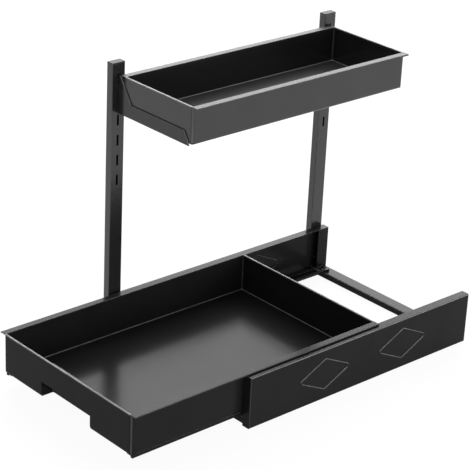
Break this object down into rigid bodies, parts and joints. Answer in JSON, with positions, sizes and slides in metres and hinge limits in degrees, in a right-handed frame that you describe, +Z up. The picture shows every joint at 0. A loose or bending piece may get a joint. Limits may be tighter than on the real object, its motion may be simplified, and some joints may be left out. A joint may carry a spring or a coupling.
{
  "type": "under sink organizer",
  "caption": "Tiered under-sink organizer in black sheet steel: a wide pull-out drawer on rails in a low frame, with a narrower lift-out tray hooked on slotted posts along one side.",
  "frame": {"origin": "on the floor under the middle of the whole object's box at rest, with the drawer partly out", "axes": "+Z up, -Y the way the drawer comes out, +X from the posts towards the open side"},
  "size_m": [0.3204, 0.6066, 0.4184],
  "materials": {
    "frame_coat": "satin black powder coat",
    "pan_coat": "satin black powder coat",
    "rail_coat": "satin black",
    "bar_steel": "satin black powder coat",
    "fastener_steel": "black oxide",
    "nylon": "plain moulded",
    "cap_plastic": "plain moulded",
    "stop_rubber": "matte"
  },
  "bodies": {
    "frame": {"left_side_panel": "frame_coat", "right_side_panel": "frame_coat", "front_cross_bar": "bar_steel", "rear_cross_bar": "bar_steel", "bar_screws": "fastener_steel", "left_rail": "rail_coat", "right_rail": "rail_coat", "rail_rivets": "fastener_steel", "roller_axles": "fastener_steel", "rail_stops": "stop_rubber", "rail_end_plugs": "cap_plastic", "front_post": "frame_coat", "rear_post": "frame_coat", "front_post_cap": "cap_plastic", "rear_post_cap": "cap_plastic", "post_screws": "fastener_steel", "post_nuts": "fastener_steel", "front_bracket": "frame_coat", "rear_bracket": "frame_coat"},
    "drawer": {"drawer_pan": "pan_coat", "drawer_pull_pocket": "pan_coat", "left_runner": "rail_coat", "right_runner": "rail_coat", "left_glide": "nylon", "right_glide": "nylon", "glide_screws": "fastener_steel"},
    "left_roller": {"left_roller": "nylon"},
    "right_roller": {"right_roller": "nylon"},
    "tray": {"upper_tray": "pan_coat"}
  },
  "joints": [
    {"name": "drawer_slide", "type": "slide", "parent": "frame", "child": "drawer", "axis": [0, -1, 0], "range_m": [-0.1765, 0.073]},
    {"name": "left_roller_spin", "type": "hinge", "parent": "frame", "child": "left_roller", "pos_m": [-0.1218, -0.08675, 0.0131], "axis": [1, 0, 0], "continuous": true},
    {"name": "right_roller_spin", "type": "hinge", "parent": "frame", "child": "right_roller", "pos_m": [0.1352, -0.08675, 0.0131], "axis": [1, 0, 0], "continuous": true},
    {"name": "tray_lift", "type": "slide", "parent": "frame", "child": "tray", "axis": [0, 0, 1], "range_m": [0, 0.06]}
  ],
  "couplings": [
    {"joint": "left_roller_spin", "follows": "drawer_slide", "rad_per_m": 227.27},
    {"joint": "right_roller_spin", "follows": "drawer_slide", "rad_per_m": 227.27}
  ]
}
